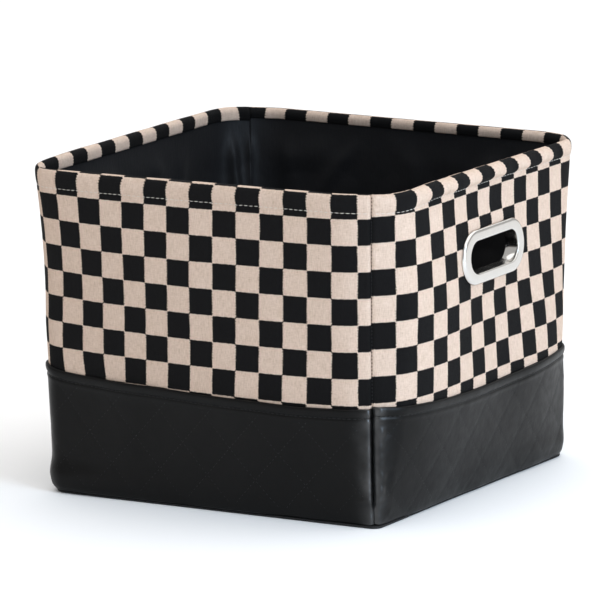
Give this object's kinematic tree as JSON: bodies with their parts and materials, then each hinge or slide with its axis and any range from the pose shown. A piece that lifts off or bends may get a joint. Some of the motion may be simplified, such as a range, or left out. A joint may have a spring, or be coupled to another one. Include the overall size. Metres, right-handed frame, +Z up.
{
  "type": "fabric storage bin",
  "caption": "Square open-top storage bin of stiffened checked cloth with a quilted leatherette base band, wired rim, oval metal hand holes and a loose base board.",
  "frame": {"origin": "middle of the base, on the surface that the bin stands on", "axes": "+Z up through the open top; -Y is the front wall, +X the right wall with a hand hole; the cloth seams are at the front-right and back-left corners"},
  "size_m": [0.3218, 0.3164, 0.254],
  "materials": {
    "checked_cloth": "black and cream 20 mm checks, linen-like weave",
    "leatherette": "black smooth leatherette, diamond quilted, soft gloss",
    "base_cloth": "black non-woven base cloth",
    "liner": "black woven polyester lining",
    "board": "grey-brown pressed fibre board",
    "steel_wire": "drawn steel wire",
    "eyelet_metal": "polished nickel plate",
    "washer_metal": "satin nickel plate"
  },
  "bodies": {
    "bin": {"fabric_panel_right_back": "checked_cloth", "fabric_panel_left_front": "checked_cloth", "leather_band_right_back": "leatherette", "leather_band_left_front": "leatherette", "base_cover": "base_cloth", "rim_wire": "steel_wire", "front_wall_board": "board", "back_wall_board": "board", "left_wall_board": "board", "right_wall_board": "board", "liner_wall_right_back": "liner", "liner_wall_left_front": "liner", "liner_bottom": "liner", "right_handle_eyelet": "eyelet_metal", "left_handle_eyelet": "eyelet_metal", "right_handle_washer": "washer_metal", "left_handle_washer": "washer_metal"},
    "base_insert": {"base_insert_board": "board", "base_insert_cover": "liner"}
  },
  "joints": [
    {"name": "base_insert_lift", "type": "slide", "parent": "bin", "child": "base_insert", "axis": [0, 0, 1], "range_m": [0, 0.27]}
  ]
}
